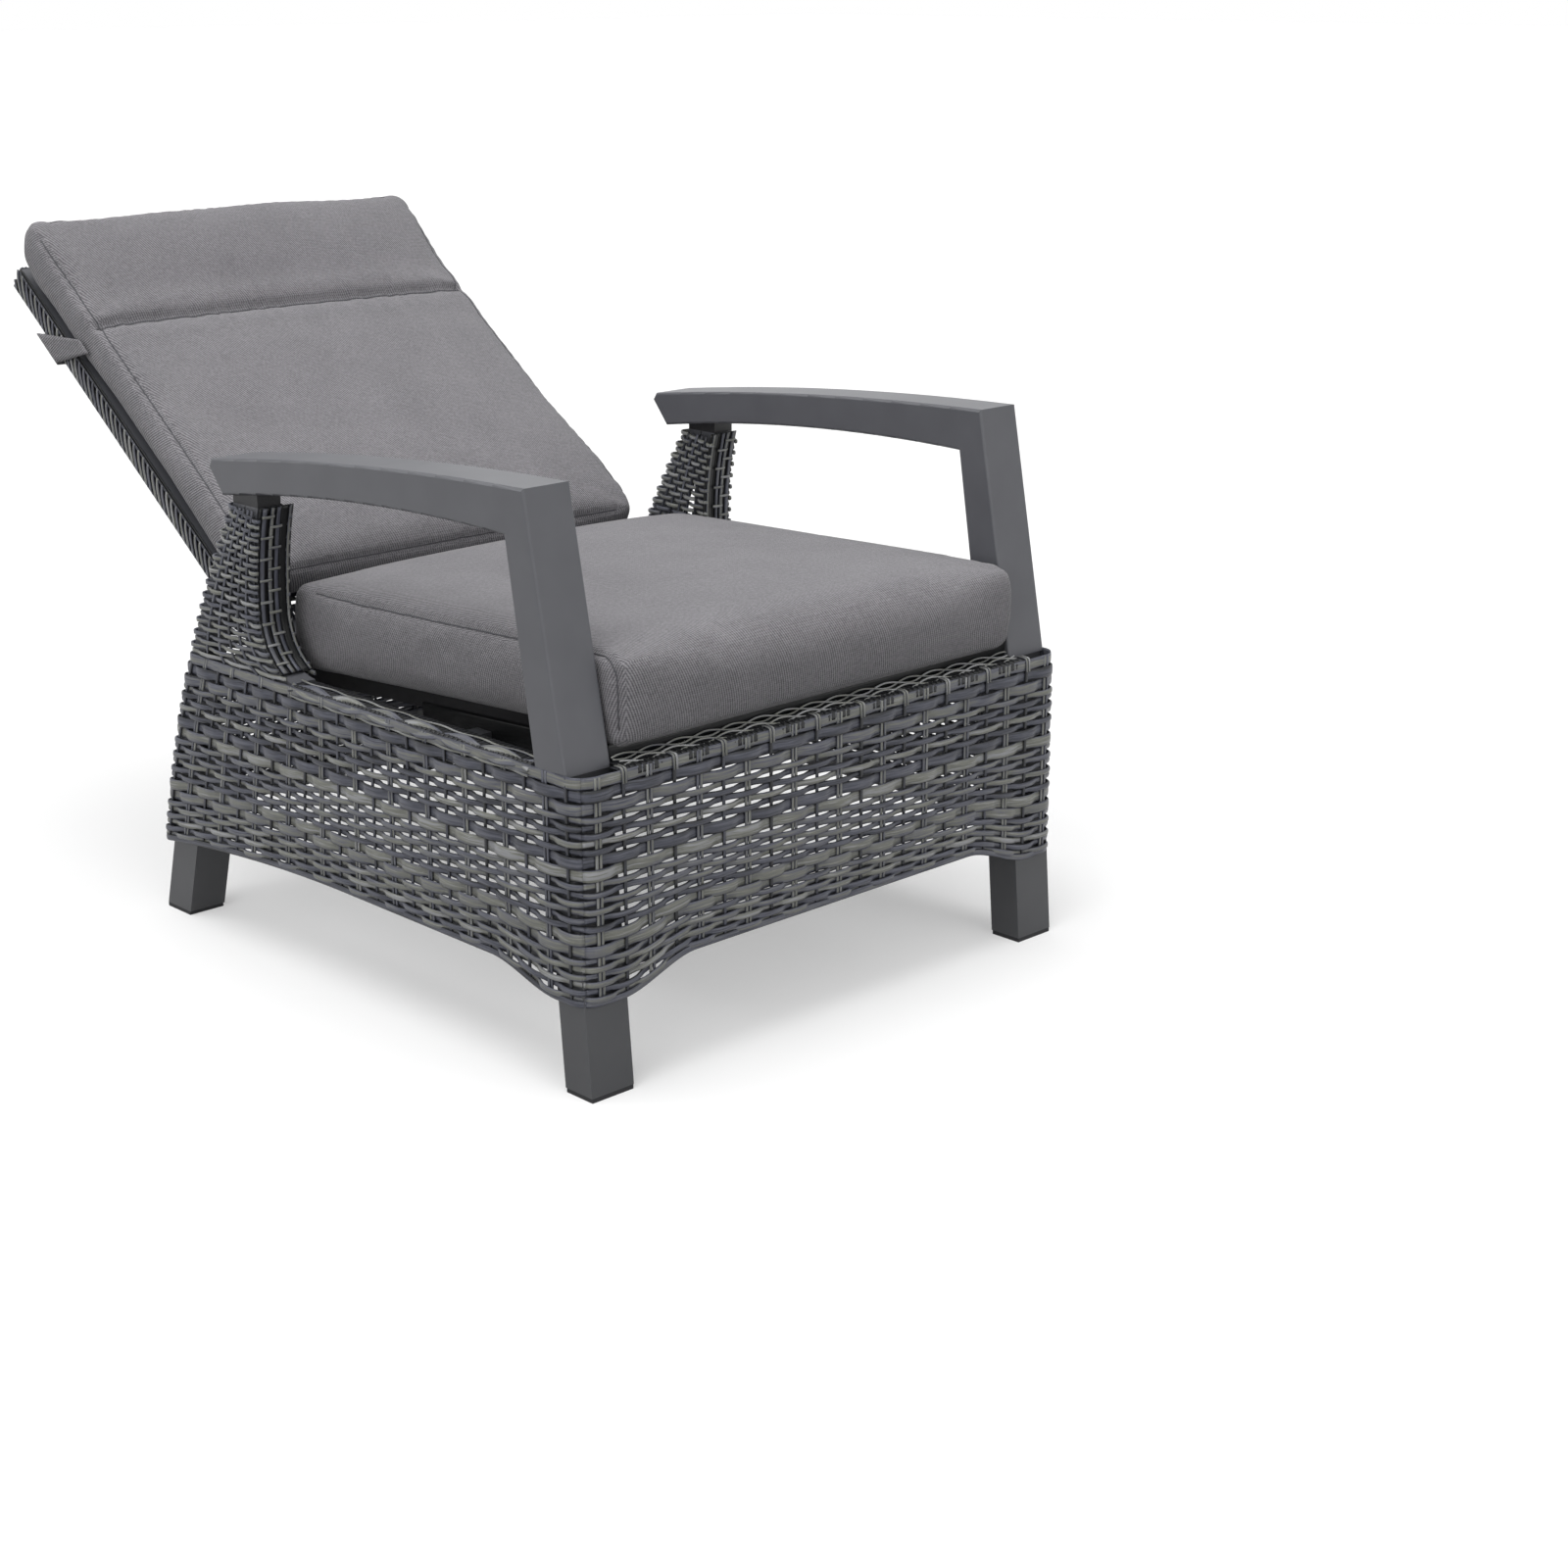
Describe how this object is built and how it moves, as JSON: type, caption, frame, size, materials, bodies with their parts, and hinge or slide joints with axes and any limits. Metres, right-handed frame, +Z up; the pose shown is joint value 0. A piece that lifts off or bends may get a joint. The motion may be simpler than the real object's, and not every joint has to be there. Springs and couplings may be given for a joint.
{
  "type": "reclining garden armchair",
  "caption": "Garden armchair with woven resin sides, aluminium arms, loose seat cushion and a back that reclines on a lockable gas spring worked by a lever.",
  "frame": {"origin": "on the floor, in the middle of the box round the whole chair with its back reclined", "axes": "+Z up, -Y to the chair's front, +X to the sitter's left"},
  "size_m": [0.728, 1.1972, 0.8086],
  "materials": {
    "powder_coated_aluminium": "satin anthracite powder coat",
    "wicker": "extruded resin wicker, woven",
    "cushion_fabric": "outdoor basket weave",
    "glide_rubber": "moulded",
    "zinc_steel": "bright zinc plated",
    "black_steel": "black coated",
    "chromed_rod": "hard chromed",
    "black_nylon": "moulded"
  },
  "bodies": {
    "base": {"arm_front_bolts": "zinc_steel", "arm_rear_bolts": "zinc_steel", "arm_rest_left": "powder_coated_aluminium", "arm_rest_right": "powder_coated_aluminium", "arm_spigots": "powder_coated_aluminium", "arm_upright_left": "powder_coated_aluminium", "arm_upright_right": "powder_coated_aluminium", "deck_rails": "powder_coated_aluminium", "front_foot_glides": "glide_rubber", "front_leg_left": "powder_coated_aluminium", "front_leg_right": "powder_coated_aluminium", "front_low_rail": "powder_coated_aluminium", "front_post_left": "powder_coated_aluminium", "front_post_right": "powder_coated_aluminium", "front_rail_wrap": "wicker", "front_skirt": "wicker", "front_top_rail": "powder_coated_aluminium", "hinge_bolts": "zinc_steel", "hinge_brackets": "black_steel", "lever_clips": "zinc_steel", "post_caps": "black_nylon", "post_wrap_left": "wicker", "post_wrap_right": "wicker", "rail_wrap_left": "wicker", "rail_wrap_right": "wicker", "rear_foot_glides": "glide_rubber", "rear_leg_left": "powder_coated_aluminium", "rear_leg_right": "powder_coated_aluminium", "rear_low_rail": "powder_coated_aluminium", "rear_post_left": "powder_coated_aluminium", "rear_post_right": "powder_coated_aluminium", "rear_skirt": "wicker", "rear_top_rail": "powder_coated_aluminium", "seat_cross_tube": "powder_coated_aluminium", "seat_cushion": "cushion_fabric", "seat_slats": "powder_coated_aluminium", "side_low_rail_left": "powder_coated_aluminium", "side_low_rail_right": "powder_coated_aluminium", "side_skirt_left": "wicker", "side_skirt_right": "wicker", "side_top_rail_left": "powder_coated_aluminium", "side_top_rail_right": "powder_coated_aluminium", "spring_bracket": "black_steel"},
    "back": {"back_side_tube_left": "powder_coated_aluminium", "back_side_tube_right": "powder_coated_aluminium", "back_top_tube": "powder_coated_aluminium", "back_cross_tubes": "powder_coated_aluminium", "back_wicker": "wicker", "back_cushion": "cushion_fabric", "back_strap": "cushion_fabric", "hinge_bushes": "black_nylon", "crank_arms": "black_steel", "crank_pin": "zinc_steel"},
    "rod": {"release_head": "black_steel", "spring_rod": "chromed_rod"},
    "cylinder": {"gas_spring_cylinder": "black_steel"},
    "pin": {"release_pin": "zinc_steel"},
    "lever": {"release_lever": "zinc_steel", "lever_grip": "black_nylon"}
  },
  "joints": [
    {"name": "back_recline", "type": "hinge", "parent": "base", "child": "back", "pos_m": [0, 0.05438, 0.3395], "axis": [1, 0, 0], "range_deg": [0, 35]},
    {"name": "spring_swing", "type": "hinge", "parent": "base", "child": "rod", "pos_m": [0, -0.30862, 0.245], "axis": [1, 0, 0], "range_deg": [-3.3, 0]},
    {"name": "spring_stroke", "type": "slide", "parent": "rod", "child": "cylinder", "axis": [0, 0.9925, 0.1221], "range_m": [0, 0.038]},
    {"name": "lever_pull", "type": "hinge", "parent": "base", "child": "lever", "pos_m": [0, -0.33712, 0.284], "axis": [1, 0, 0], "range_deg": [0, 8], "stiffness_Nm_per_rad": 2.5},
    {"name": "release_pin_slide", "type": "slide", "parent": "rod", "child": "pin", "axis": [0, 0.9925, 0.1221], "range_m": [0, 0.006]}
  ],
  "couplings": [
    {"joint": "spring_swing", "follows": "back_recline", "ratio": -0.0882},
    {"joint": "spring_stroke", "follows": "back_recline", "m_per_rad": 0.061822},
    {"joint": "release_pin_slide", "follows": "lever_pull", "m_per_rad": 0.042}
  ]
}
